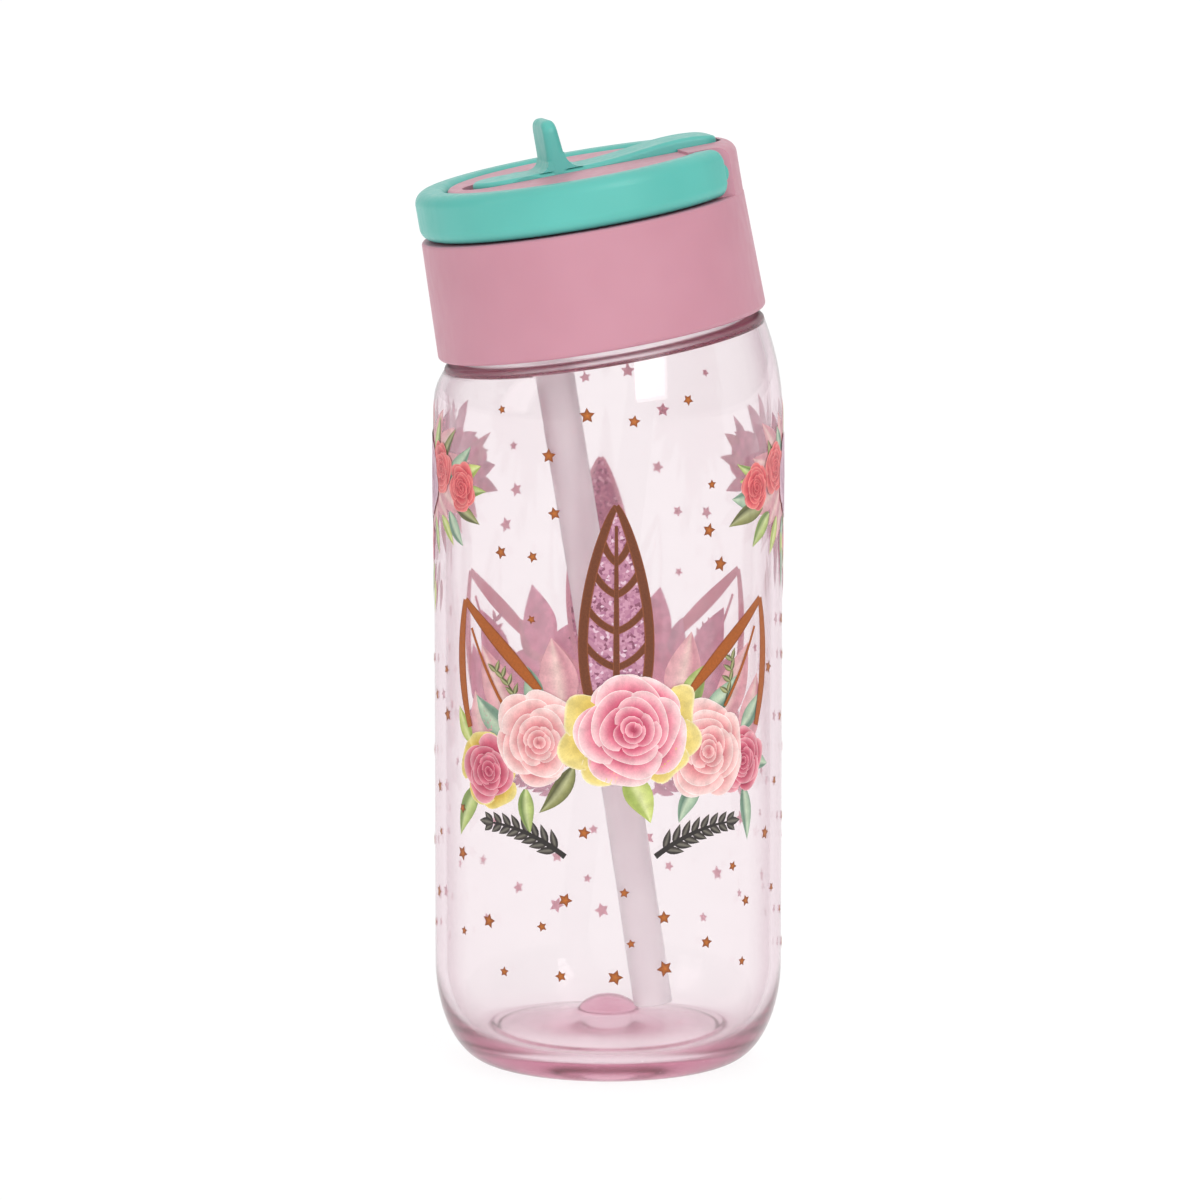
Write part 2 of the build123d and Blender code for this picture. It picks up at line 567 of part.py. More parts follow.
BODY_PARTS = {"bottle_body": bottle_body}
LID_PARTS = {
    "cap_shell": cap_shell,
    "cap_liner": cap_liner,
    "neck_gasket": neck_gasket,
    "carry_handle": carry_handle,
    "flip_spout": flip_spout,
    "spout_seal": spout_seal,
    "seal_retainer": seal_retainer,
    "straw": straw,
    "vent_valve": vent_valve,
}

os.makedirs("parts", exist_ok=True)
for name, make in BODY_PARTS.items():
    export_step(make(), f"parts/{name}.step")
for name, make in LID_PARTS.items():
    export_step(on_neck(make()), f"parts/{name}.step")
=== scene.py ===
import json
import random
from math import asin, atan2, ceil, cos, degrees, hypot, pi, radians, sin, sqrt, tau

import bmesh
import bpy
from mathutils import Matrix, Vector


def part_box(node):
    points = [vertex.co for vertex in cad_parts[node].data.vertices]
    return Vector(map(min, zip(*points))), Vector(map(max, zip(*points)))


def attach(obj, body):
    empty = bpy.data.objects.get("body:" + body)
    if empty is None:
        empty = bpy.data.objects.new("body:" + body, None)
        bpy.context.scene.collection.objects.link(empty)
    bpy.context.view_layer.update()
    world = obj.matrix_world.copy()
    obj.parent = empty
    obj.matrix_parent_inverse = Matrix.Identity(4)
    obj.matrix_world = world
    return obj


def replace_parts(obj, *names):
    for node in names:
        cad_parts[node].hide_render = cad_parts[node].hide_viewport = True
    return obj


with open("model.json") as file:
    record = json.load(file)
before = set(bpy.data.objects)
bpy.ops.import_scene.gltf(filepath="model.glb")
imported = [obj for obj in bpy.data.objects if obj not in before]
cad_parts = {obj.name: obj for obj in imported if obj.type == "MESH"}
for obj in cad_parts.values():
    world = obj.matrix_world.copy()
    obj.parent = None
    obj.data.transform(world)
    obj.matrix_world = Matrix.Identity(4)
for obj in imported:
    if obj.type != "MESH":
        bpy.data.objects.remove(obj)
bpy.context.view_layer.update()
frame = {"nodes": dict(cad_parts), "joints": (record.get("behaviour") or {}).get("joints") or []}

MM = 0.001
random.seed(7)

# ---- Body and neck, as in the CAD part --------------------------------------------------------
BODY_R = round(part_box("bottle_body")[1].y / MM, 1)
WALL = 2.25
CORNER_TOP = 20.0          # the rounded corner of the base ends in the wall at this height
FOOT_INNER_R = 22.4        # the bottle stands on a flat ring between these two radii
FOOT_OUTER_R = 24.2
RECESS_EDGE_R = 21.2       # the hollow underside curves up from the foot to this radius
RECESS_EDGE = 1.2
RECESS_TOP = 3.2
VALLEY_R = 25.0            # lowest ring of the inside, between wall and raised floor
VALLEY = 5.2
PLATEAU_R = 23.3           # edge of the raised, slightly coned floor
PLATEAU = 6.0
PLATEAU_TOP = 9.3
GATE_DOME_R = 6.4
GATE_DOME_HEIGHT = 3.6
SHOULDER_TOP = -2.3
SHOULDER_TOP_R = 32.45
SHOULDER_EDGE = 1.1
SHOULDER_LOW_ARC = 10.0
SHOULDER_HIGH_ARC = 55.0
CEILING = -3.4
CEILING_R = 30.6
NECK_R = 29.2
NECK_BORE_R = 26.8
NECK_RIM = 17.0
THREAD_STARTS = 4
THREAD_LEAD = 16.0
THREAD_ARC = 60.0
THREAD_HEIGHT = 1.0
THREAD_HALF_ROOT = 0.95
THREAD_HALF_CREST = 0.4
THREAD_START = 6.4
THREAD_FADE = 4.0          # degrees over which a ridge rises at either end
NECK_ROOT_R = 0.4          # hollow corner between the ledge and the neck
LEDGE_MIDDLE = 1.4         # ring on the ledge, this far out from the neck
RIM_HEIGHT = 0.4           # rounding over the sealing rim
BORE_CORNER = 0.6          # rounding between the bore and the shoulder's inside
BORE_RINGS = (12, 6, 1)    # heights of the rings down the bore
SEGMENTS = 192
WALL_RINGS = (40, 60, 80, 100, 120)   # heights of the rings on the straight wall

# ---- Lid frame, read from the joints -----------------------------------------------------------
JOINTS = {joint["name"]: joint for joint in frame["joints"]}
NECK_UP = Vector(JOINTS["cap_turn"]["axis"])
NECK_FOOT = Vector(JOINTS["cap_turn"]["pos_m"]) / MM
NECK_ACROSS = Vector((NECK_UP.z, 0, -NECK_UP.x))
LID_SIDE = Vector(JOINTS["handle_swing"]["axis"])
LID_BACK = LID_SIDE.cross(NECK_UP)
LID_AZIMUTH = degrees(atan2(LID_BACK.y, LID_BACK.dot(NECK_ACROSS)))

# ---- Print: ink plates lie outside the wall in thin steps ----------------------------------------
HALF_TURN = pi * BODY_R
PRINT_ZERO = -2.5        # height that the print's own z counts from
INK = 0.01               # thickness of one plate
RING_STEP = 0.008        # a rose's petal rings lie this far above each other
PETAL_TILT = 0.006       # one side of a petal lies this much above the other
LEAF_STEP = 0.003        # each leaf lies this far above the one before it
CELL = 1.1               # longest side of a plate's facets round the body
CROSSING = 0.008         # lift between copper strokes that cross
SEEN_THROUGH = 0.12      # share of the front's colour that shows on the back of the ink
LIFT_LOW = 0.014
LIFT_VEIN = 0.12
LIFT_OUTLINE = 0.14
LIFT_SMALL_ROSE = 0.16
LIFT_ROSE = 0.22
LIFT_CENTRE_ROSE = 0.29

MAUVE = (236, 184, 204)
COPPER = (172, 91, 30)
COPPER_EDGE = (134, 68, 36)
# painted highlight: lighter copper blended into the middle of each star
COPPER_HIGHLIGHT = (225, 140, 60)
BRONZE = (112, 58, 30)      # the tall leaf's outline, rib and veins
BRONZE_EDGE = (150, 84, 52)
DARK = (42, 35, 33)
DARK_LIGHT = (62, 54, 50)
PALE_LILAC = (212, 178, 196)
RIB_TINT = (240, 240, 214)


def linear(colour):
    """An sRGB colour, 0 to 255, as linear red, green and blue with full alpha."""
    parts = []
    for value in colour:
        share = value / 255
        parts.append(share / 12.92 if share <= 0.04045 else ((share + 0.055) / 1.055) ** 2.4)
    return (*parts, 1.0)


def mix(first, second, share):
    """Colour between two colours; the share is limited to 0 to 1."""
    share = min(1.0, max(0.0, share))
    return tuple(a + (b - a) * share for a, b in zip(first, second))


def steps(count, low=0.0, high=1.0):
    """Evenly spaced values from low to high, both ends included."""
    return [low + (high - low) * i / count for i in range(count + 1)]


# ---- Body -----------------------------------------------------------------------------------
ANGLES = [tau * i / SEGMENTS for i in range(SEGMENTS)]


def ring(centre, across, depth):
    """Points of an ellipse: across is one half axis, depth the other along y."""
    return [centre + across * cos(a) + Vector((0, depth * sin(a), 0)) for a in ANGLES]


def level_ring(radius, height):
    return ring(Vector((0, 0, height)), Vector((radius, 0, 0)), radius)


def neck_ring(radius, height):
    return ring(NECK_FOOT + NECK_UP * height, NECK_ACROSS * radius, radius)


def thread_rise(angle, height):
    """How far the thread stands out of the neck at an angle, in degrees, and a height."""
    rise = 0.0
    for start in range(THREAD_STARTS):
        along = (angle - LID_AZIMUTH - 360 * start / THREAD_STARTS) % 360
        if along <= THREAD_ARC:
            away = abs(height - THREAD_START - THREAD_LEAD * along / 360)
            slope = (THREAD_HALF_ROOT - away) / (THREAD_HALF_ROOT - THREAD_HALF_CREST)
            ends = min(along, THREAD_ARC - along) / THREAD_FADE
            rise = max(rise, THREAD_HEIGHT * min(1.0, slope, ends))
    return rise


def threaded_ring(height):
    points = []
    for angle in ANGLES:
        radius = NECK_R + thread_rise(degrees(angle), height)
        across = NECK_ACROSS * (radius * cos(angle)) + Vector((0, radius * sin(angle), 0))
        points.append(NECK_FOOT + NECK_UP * height + across)
    return points


def side_arc(side, radius, end, wall_r):
    """One side of the shoulder: an arc that leaves the wall upright and stops at end."""
    inset = wall_r - side * end.x
    rise = sqrt(2 * radius * inset - inset**2)
    sweep = asin(rise / radius)

    def point(share):
        x = side * (wall_r - radius * (1 - cos(sweep * share)))
        return Vector((x, 0, end.z - rise + radius * sin(sweep * share)))

    return point


class Shoulder:
    """Surface between the straight wall and a tilted circle of the neck."""

    def __init__(self, wall_r, low_arc, high_arc, end_r, end_height):
        middle = NECK_FOOT + NECK_UP * end_height
        self.wall_r = wall_r
        self.end_r = end_r
        self.low = side_arc(-1, low_arc, middle - NECK_ACROSS * end_r, wall_r)
        self.high = side_arc(1, high_arc, middle + NECK_ACROSS * end_r, wall_r)

    def section(self, share):
        low = self.low(share)
        high = self.high(share)
        depth = self.wall_r - (self.wall_r - self.end_r) * share**2
        return (low + high) / 2, (high - low) / 2, depth

    def ring(self, share):
        return ring(*self.section(share))

    def point(self, angle, height):
        """Point of the surface at an angle from +x, found by halving on the height."""
        low, high = 0.0, 1.0
        for _ in range(24):
            share = (low + high) / 2
            centre, across, depth = self.section(share)
            if centre.z + across.z * cos(angle) < height:
                low = share
            else:
                high = share
        return centre + across * cos(angle) + Vector((0, depth * sin(angle), 0))


OUTSIDE = Shoulder(BODY_R, SHOULDER_LOW_ARC, SHOULDER_HIGH_ARC, SHOULDER_TOP_R, SHOULDER_TOP)
INSIDE = Shoulder(
    BODY_R - WALL, SHOULDER_LOW_ARC - WALL, SHOULDER_HIGH_ARC - WALL, CEILING_R, CEILING
)


def swell(first, second, share):
    """Point between two profile points on an S-curve that is level at both ends."""
    ease = (1 - cos(pi * share)) / 2
    return first[0] + (second[0] - first[0]) * share, first[1] + (second[1] - first[1]) * ease


def base_rings():
    """Hollow underside, flat foot ring and rounded outside corner, from the middle outwards."""
    profile = []
    for share in steps(14, 0.04, 1):
        rise = (RECESS_TOP - RECESS_EDGE) * (1 - share**2)
        profile.append((RECESS_EDGE_R * share, RECESS_EDGE + rise))
    depth = FOOT_INNER_R - RECESS_EDGE_R
    for angle in steps(8, 0, pi / 2)[1:]:
        profile.append(
            (RECESS_EDGE_R + depth * sin(angle), RECESS_EDGE * cos(angle))
        )
    wide = BODY_R - FOOT_OUTER_R
    for angle in steps(30, 0, pi / 2):
        profile.append(
            (FOOT_OUTER_R + wide * sin(angle), CORNER_TOP * (1 - cos(angle)))
        )
    return [level_ring(radius, height) for radius, height in profile]


def floor_rings():
    """Inside corner, valley, raised floor and gate dome, from the wall to the middle."""
    wide = BODY_R - WALL - VALLEY_R
    tall = CORNER_TOP - VALLEY
    profile = []
    for angle in steps(24, pi / 2, 0):
        profile.append((VALLEY_R + wide * sin(angle), CORNER_TOP - tall * cos(angle)))
    for share in steps(8)[1:]:
        profile.append(swell((VALLEY_R, VALLEY), (PLATEAU_R, PLATEAU), share))
    inner_r = GATE_DOME_R + 0.2
    for share in steps(10)[1:]:
        radius = PLATEAU_R + (inner_r - PLATEAU_R) * share
        profile.append((radius, PLATEAU + (PLATEAU_TOP - PLATEAU) * share))
    dome_r = (GATE_DOME_R**2 + GATE_DOME_HEIGHT**2) / (2 * GATE_DOME_HEIGHT)
    for radius in steps(12, GATE_DOME_R - 0.1, 0.4):
        rise = sqrt(dome_r**2 - radius**2) - (dome_r - GATE_DOME_HEIGHT)
        profile.append((radius, PLATEAU_TOP + rise))
    return [level_ring(radius, height) for radius, height in profile]


def neck_rings():
    """Rounded shoulder edge, ledge, threaded neck, rim, bore and the inside corner."""
    rings = []
    edge_x = SHOULDER_TOP_R - SHOULDER_EDGE
    for share in steps(6)[1:]:
        rings.append(
            neck_ring(
                edge_x + SHOULDER_EDGE * cos(share * pi / 2),
                SHOULDER_TOP + SHOULDER_EDGE * sin(share * pi / 2),
            )
        )
    ledge = SHOULDER_TOP + SHOULDER_EDGE
    rings += [neck_ring(NECK_R + reach, ledge) for reach in (LEDGE_MIDDLE, NECK_ROOT_R)]
    for angle in steps(4, 0, pi / 2)[1:]:
        radius = NECK_R + NECK_ROOT_R * (1 - sin(angle))
        rings.append(neck_ring(radius, ledge + NECK_ROOT_R * (1 - cos(angle))))
    rings += [threaded_ring(height) for height in steps(44, 0, NECK_RIM - 0.5)]
    rim_r = (NECK_R - NECK_BORE_R) / 2
    for angle in steps(6, 0, pi):
        radius = NECK_BORE_R + rim_r + rim_r * cos(angle)
        rings.append(neck_ring(radius, NECK_RIM - RIM_HEIGHT + RIM_HEIGHT * sin(angle)))
    rings += [neck_ring(NECK_BORE_R, height) for height in (*BORE_RINGS, CEILING + BORE_CORNER)]
    for angle in steps(4, 0, pi / 2):
        radius = NECK_BORE_R + BORE_CORNER * (1 - cos(angle))
        rings.append(neck_ring(radius, CEILING + BORE_CORNER * (1 - sin(angle))))
    rings.append(neck_ring(CEILING_R - 1, CEILING))
    return rings


def bottle_rings():
    """All rings of the closed body surface, from the middle of the base round to the floor."""
    rings = base_rings()
    rings += [level_ring(BODY_R, z) for z in WALL_RINGS]
    rings += [OUTSIDE.ring(share) for share in steps(20)]
    rings += neck_rings()
    rings += [INSIDE.ring(share) for share in steps(20, 1, 0)]
    rings += [level_ring(BODY_R - WALL, z) for z in reversed(WALL_RINGS)]
    return rings + floor_rings()


def finish_mesh(name, points, faces, body, sharp=35):
    """A smooth-shaded piece from points in millimetres, with its normals turned outwards."""
    mesh = bpy.data.meshes.new(name)
    mesh.from_pydata([tuple(Vector(p) * MM) for p in points], [], faces)
    work = bmesh.new()
    work.from_mesh(mesh)
    bmesh.ops.recalc_face_normals(work, faces=work.faces)
    work.to_mesh(mesh)
    work.free()
    mesh.shade_smooth()
    mesh.set_sharp_from_angle(angle=radians(sharp))
    piece = bpy.data.objects.new(name, mesh)
    bpy.context.scene.collection.objects.link(piece)
    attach(piece, body)
    return piece


def clear_body():
    """The whole body as one closed surface."""
    rings = bottle_rings()
    points = [Vector((0, 0, RECESS_TOP))]
    for points_of_ring in rings:
        points += points_of_ring
    points.append(Vector((0, 0, PLATEAU_TOP + GATE_DOME_HEIGHT)))
    faces = []
    last_start = 1 + SEGMENTS * (len(rings) - 1)
    for i in range(SEGMENTS):
        j = (i + 1) % SEGMENTS
        faces.append((0, 1 + j, 1 + i))
        faces.append((last_start + i, last_start + j, len(points) - 1))
        for k in range(len(rings) - 1):
            low = 1 + SEGMENTS * k
            high = low + SEGMENTS
            faces.append((low + i, low + j, high + j, high + i))
    piece = finish_mesh("clear_body", points, faces, "bottle", sharp=60)
    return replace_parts(piece, "bottle_body")


# ---- Print ------------------------------------------------------------------------------------
def wall_point(u, z, lift):
    """Where a point of the unrolled print lies on the body."""
    turn = u / BODY_R
    outward = Vector((sin(turn), -cos(turn), 0))
    angle = turn - pi / 2
    centre, across, _ = OUTSIDE.section(0)
    if z <= centre.z + across.z * cos(angle):
        return outward * (BODY_R + lift) + Vector((0, 0, z))
    return OUTSIDE.point(angle, z) + outward * lift


class Ink:
    """Thin closed plates of ink that together make one piece of the print."""

    def __init__(self, name, shift):
        self.name = name
        self.shift = shift
        self.points = []
        self.colours = []
        self.faces = []
        self.leaves = 0

    def next_leaf(self):
        """Lift of the next leaf, so that no two leaves of a piece share a surface."""
        self.leaves += 1
        return LIFT_LOW + LEAF_STEP * self.leaves

    def plate(self, front, faces, rim, back=MAUVE):
        """Adds a plate from (u, z, lift, colour) points, its faces and the loop round its edge."""
        start = len(self.points)
        count = len(front)
        for u, z, lift, colour in front:
            self.points.append(wall_point(u + self.shift, PRINT_ZERO + z, lift))
            self.colours.append(linear(colour))
        for u, z, lift, colour in front:
            self.points.append(wall_point(u + self.shift, PRINT_ZERO + z, lift - INK))
            self.colours.append(linear(mix(back, colour, SEEN_THROUGH)))
        for face in faces:
            self.faces.append(tuple(start + i for i in face))
            back_face = (face[0],) + tuple(face[:0:-1])
            self.faces.append(tuple(start + count + i for i in back_face))
        for a, b in zip(rim, rim[1:] + rim[:1]):
            self.faces.append((start + a, start + count + a, start + count + b, start + b))

    def sheet(self, rows, back=MAUVE):
        """Adds a plate from rows of (u, z, lift, colour) points, all rows of one length."""
        wide = len(rows[0])
        front = [point for row in rows for point in row]
        faces = []
        for r in range(len(rows) - 1):
            for c in range(wide - 1):
                corner = r * wide + c
                faces.append((corner, corner + 1, corner + wide + 1, corner + wide))
        last = (len(rows) - 1) * wide
        rim = list(range(wide))
        rim += [wide * r + wide - 1 for r in range(1, len(rows) - 1)]
        rim += list(range(last + wide - 1, last - 1, -1))
        rim += [wide * r for r in range(len(rows) - 2, 0, -1)]
        self.plate(front, faces, rim, back)

    def fan(self, middle, edge, back=MAUVE):
        """Adds a plate from a middle point and the points round its edge."""
        count = len(edge)
        faces = [(0, 1 + i, 1 + (i + 1) % count) for i in range(count)]
        self.plate([middle] + edge, faces, list(range(1, count + 1)), back)

    def piece(self, material):
        piece = finish_mesh(self.name, self.points, self.faces, "bottle")
        colours = piece.data.color_attributes.new("ink", "FLOAT_COLOR", "POINT")
        for i, colour in enumerate(self.colours):
            colours.data[i].color = colour
        piece.data.materials.append(material)
        return piece


def stroke(ink, path, widths, lift, colour=COPPER, edge=COPPER_EDGE):
    """A line of changing width along a path of (u, z) points, with a darker edge."""
    rows = []
    for i, (u, z) in enumerate(path):
        u0, z0 = path[max(0, i - 1)]
        u1, z1 = path[min(len(path) - 1, i + 1)]
        length = hypot(u1 - u0, z1 - z0)
        side_u, side_z = -(z1 - z0) / length, (u1 - u0) / length
        half = widths[i] / 2
        row = []
        for a in (-1, -0.7, 0, 0.7, 1):
            tone = edge if abs(a) == 1 else colour
            row.append((u + side_u * half * a, z + side_z * half * a, lift, tone))
        rows.append(row)
    ink.sheet(rows)


def curve(start, bend, end, count=14):
    """Points of an arc from start to end, pulled towards the bend point."""
    points = []
    for t in steps(count):
        u = (1 - t) ** 2 * start[0] + 2 * t * (1 - t) * bend[0] + t * t * end[0]
        z = (1 - t) ** 2 * start[1] + 2 * t * (1 - t) * bend[1] + t * t * end[1]
        points.append((u, z))
    return points


RIB_SHARE = 0.06         # half width of a leaf's pale rib, as a share of the leaf's half width


def leaf(ink, u, z, heading, length, width, light, dark, bend=0.0):
    """A pointed leaf from its stem end at (u, z), with a pale middle rib."""
    rows = []
    lift = ink.next_leaf()
    count = max(6, ceil(length / CELL))
    side_cells = max(2, ceil(width / 2 / CELL))
    side = 1 - RIB_SHARE
    columns = [-1 + side * t for t in steps(side_cells)]
    columns += [RIB_SHARE + side * t for t in steps(side_cells)]
    for i in range(count + 1):
        s = i / count
        angle = radians(heading + bend * (s - 0.5))
        half = width / 2 * sin(pi * min(1.0, 0.04 + 0.96 * s) ** 0.8)
        rib = mix(light, RIB_TINT, 0.35)
        shade = mix(dark, light, 0.25 + 0.5 * s)
        row = []
        for a in columns:
            half_tone = dark if a < 0 else light
            if abs(a) < 0.5:
                tone = mix(rib, half_tone, abs(a) * 2)
            else:
                tone = mix(half_tone, shade, abs(a) * 2 - 1)
            row.append((u - sin(angle) * half * a, z + cos(angle) * half * a, lift, tone))
        rows.append(row)
        u += cos(angle) * length / count
        z += sin(angle) * length / count
    ink.sheet(rows)


STAR_WAIST = 0.52        # radius of a star's inner corners, as a share of its points'


def star(ink, u, z, radius, turn):
    """A five-pointed star with a painted highlight that makes it lighter in the middle."""
    edge = []
    for i in range(10):
        reach = radius if i % 2 == 0 else radius * STAR_WAIST
        angle = turn + tau * i / 10
        edge.append((u + reach * cos(angle), z + reach * sin(angle), LIFT_OUTLINE, COPPER_EDGE))
    # the middle point carries the painted highlight
    ink.fan((u, z, LIFT_OUTLINE, mix(COPPER, COPPER_HIGHLIGHT, 0.5)), edge)


# Petal rings of a rose from the outside in: rim as a share of the rose's radius, petals, width
ROSE_RINGS = (
    (1.0, 5, 46), (0.84, 4, 58), (0.66, 3, 74), (0.5, 3, 70), (0.37, 3, 70), (0.25, 2, 104),
    (0.14, 2, 120),
)
RING_TURN = 47           # degrees that each ring is turned on from the one outside it
RING_OVERLAP = 0.82      # a petal starts at this share of the next ring's radius
RING_DEEPEN = 0.85       # how much of the deep tone the innermost ring takes


def petal(ink, u, z, inner, rim, facing, half_angle, lift, tones, wave):
    """One petal of a rose: deep under the next ring, pale towards its rim."""
    deep, middle, pale, lip = tones
    cells = max(8, ceil(2 * radians(half_angle) * rim / CELL))
    rows = []
    for v in (-0.3, 0.0, 0.18, 0.4, 0.62, 0.82, 0.93, 1.0):
        row = []
        for a in steps(cells, -1, 1):
            edge = rim * (1 - 0.24 * abs(a) ** 3 + 0.1 * a + 0.045 * sin(4.2 * a + wave))
            reach = inner + (edge - inner) * v
            angle = facing + radians(half_angle) * a
            shade = v + 0.22 * a
            if v > 0.97:
                tone = lip
            elif shade < 0.5:
                tone = mix(deep, middle, shade / 0.45)
            else:
                tone = mix(middle, pale, (shade - 0.45) / 0.5)
            height = lift + PETAL_TILT * (a + 1) / 2
            row.append((u + reach * cos(angle), z + reach * sin(angle), height, tone))
        rows.append(row)
    ink.sheet(rows)


def rose(ink, u, z, radius, tones, lift, turn=0.0, back_tones=None):
    """A rose seen from above, its petals in rings that wind in towards the bud."""
    for k, (share, petals, half_angle) in enumerate(ROSE_RINGS):
        is_last = k + 1 == len(ROSE_RINGS)
        inner = 0.0 if is_last else ROSE_RINGS[k + 1][0] * RING_OVERLAP * radius
        ring_tones = back_tones if back_tones and k == 0 else tones
        deepen = RING_DEEPEN * k / len(ROSE_RINGS)
        deep, middle, pale, lip = ring_tones
        shaded = (deep, mix(middle, deep, deepen), mix(pale, middle, deepen), lip)
        for i in range(petals):
            facing = radians(turn + RING_TURN * k) + tau * i / petals + random.uniform(-0.2, 0.2)
            wander = 0.02 * radius * k
            centre_u = u + wander * cos(radians(turn)) * 0.5
            centre_z = z - wander * 0.3
            rim = share * radius * random.uniform(0.9, 1.06)
            wave = random.uniform(0, tau)
            petal(ink, centre_u, centre_z, inner, rim, facing, half_angle,
                  lift + RING_STEP * k, shaded, wave)


ROSE_PINK = ((190, 60, 94), (234, 142, 158), (250, 214, 214), (254, 240, 236))
ROSE_BLUSH = ((208, 112, 120), (240, 176, 174), (251, 218, 213), (254, 242, 238))
ROSE_DEEP = ((170, 44, 78), (212, 96, 118), (238, 166, 176), (250, 222, 222))
ROSE_RED = ((176, 38, 52), (214, 76, 84), (240, 132, 128), (248, 186, 176))
ROSE_LILAC = ((150, 104, 128), (186, 140, 164), (214, 176, 192), (232, 206, 214))
YELLOW_PETALS = ((196, 148, 52), (218, 186, 84), (236, 214, 132), (246, 232, 186))
LEAF_GREEN = ((186, 200, 120), (112, 134, 70))
LEAF_MIST = ((176, 198, 170), (98, 130, 112))
LEAF_LIME = ((206, 214, 128), (150, 168, 74))
LEAF_BLUSH = ((226, 172, 176), (206, 142, 152))
LEAF_OLIVE = ((150, 150, 92), (84, 84, 48))


def side_petals(ink):
    """Large yellow outer petals that show beside the middle rose."""
    above_roses = LIFT_ROSE + 0.066
    for facing, reach in (
        (196, 14.6), (160, 13.6), (228, 13.0), (-18, 14.4), (18, 14.2), (-46, 13.4),
    ):
        petal(ink, 4.4, 75.6, 5.0, reach, radians(facing), 26, above_roses, YELLOW_PETALS, facing)


def garland(shift, side):
    """The band of roses and leaves round the middle of one face."""
    made = []
    leaves = Ink(f"print_{side}_leaves", shift)
    for u, z, heading, length, width in (
        (-20, 76, 118, 17, 8), (-9, 80, 100, 14, 8), (14, 80, 78, 15, 8), (24, 76, 62, 17, 8),
        (31, 70, 74, 15, 7), (-27, 70, 104, 12, 6),
    ):
        leaf(leaves, u, z, heading, length, width, *LEAF_BLUSH)
    for u, z, heading, length, width, greens, bend in (
        (-21, 74, 140, 11, 5, LEAF_MIST, -30), (-15, 79, 102, 9, 4.4, LEAF_MIST, 25),
        (16, 79, 62, 10, 5, LEAF_GREEN, -25), (20, 78, 40, 11, 4.4, LEAF_MIST, 25),
        (30, 74, 48, 9, 4, LEAF_MIST, 20), (-29, 62, -118, 12, 4.6, LEAF_GREEN, 30),
        (-17, 63, -82, 9, 3.6, LEAF_GREEN, 20), (-7, 68, -128, 12, 3.8, LEAF_OLIVE, -30),
        (3.5, 66.5, -64, 11, 5.6, LEAF_LIME, -20), (19, 64, -120, 9, 3.8, LEAF_MIST, 30),
        (30.5, 62, -84, 11, 3.4, LEAF_MIST, -15), (33, 68, -20, 7, 3.4, LEAF_MIST, 20),
        (-4.5, 72, -162, 9, 3.4, LEAF_OLIVE, 15), (-31, 71, 120, 8, 3.6, LEAF_LIME, -20),
    ):
        leaf(leaves, u, z, heading, length, width, *greens, bend=bend)
    for start, bend, end in (
        ((-17, 77), (-20, 84), (-24, 86)), ((24, 77), (27, 83), (27, 88)),
    ):
        path = curve(start, bend, end, 10)
        stroke(leaves, path, [0.35] * 11, leaves.next_leaf(), LEAF_OLIVE[1], LEAF_OLIVE[1])
        for i in (4, 6, 8, 10):
            u, z = path[i]
            for swing in (-38, 38):
                leaf(leaves, u, z, 110 + swing, 2.6, 1.1, *LEAF_OLIVE)
    made.append(leaves)
    small = Ink(f"print_{side}_small_roses", shift)
    rose(small, -26.4, 66.0, 8.0, ROSE_DEEP, LIFT_SMALL_ROSE, 20, YELLOW_PETALS)
    rose(small, 30.2, 67.6, 7.2, ROSE_DEEP, LIFT_SMALL_ROSE, 75)
    made.append(small)
    wide = Ink(f"print_{side}_wide_roses", shift)
    rose(wide, -14.3, 73.0, 9.8, ROSE_BLUSH, LIFT_ROSE, 60)
    rose(wide, 20.4, 70.6, 10.2, ROSE_BLUSH, LIFT_ROSE, 10)
    side_petals(wide)
    made.append(wide)
    centre = Ink(f"print_{side}_centre_rose", shift)
    rose(centre, 4.4, 76.0, 11.8, ROSE_PINK, LIFT_CENTRE_ROSE, 35)
    made.append(centre)
    return made


# ---- Copper leaves, glitter leaf, sprigs and stars ------------------------------------------------
TALL_LEAF_FOOT = 80.0
TALL_LEAF_TIP = 120.3
TALL_LEAF_HALF = 6.6
TALL_LEAF_U = 1.6


def tall_leaf_half(share):
    """Half width of the tall leaf from its foot, 0, to its tip, 1."""
    return TALL_LEAF_HALF * max(0.0, sin(pi * (0.16 + 0.84 * share) ** 0.8)) ** 0.8


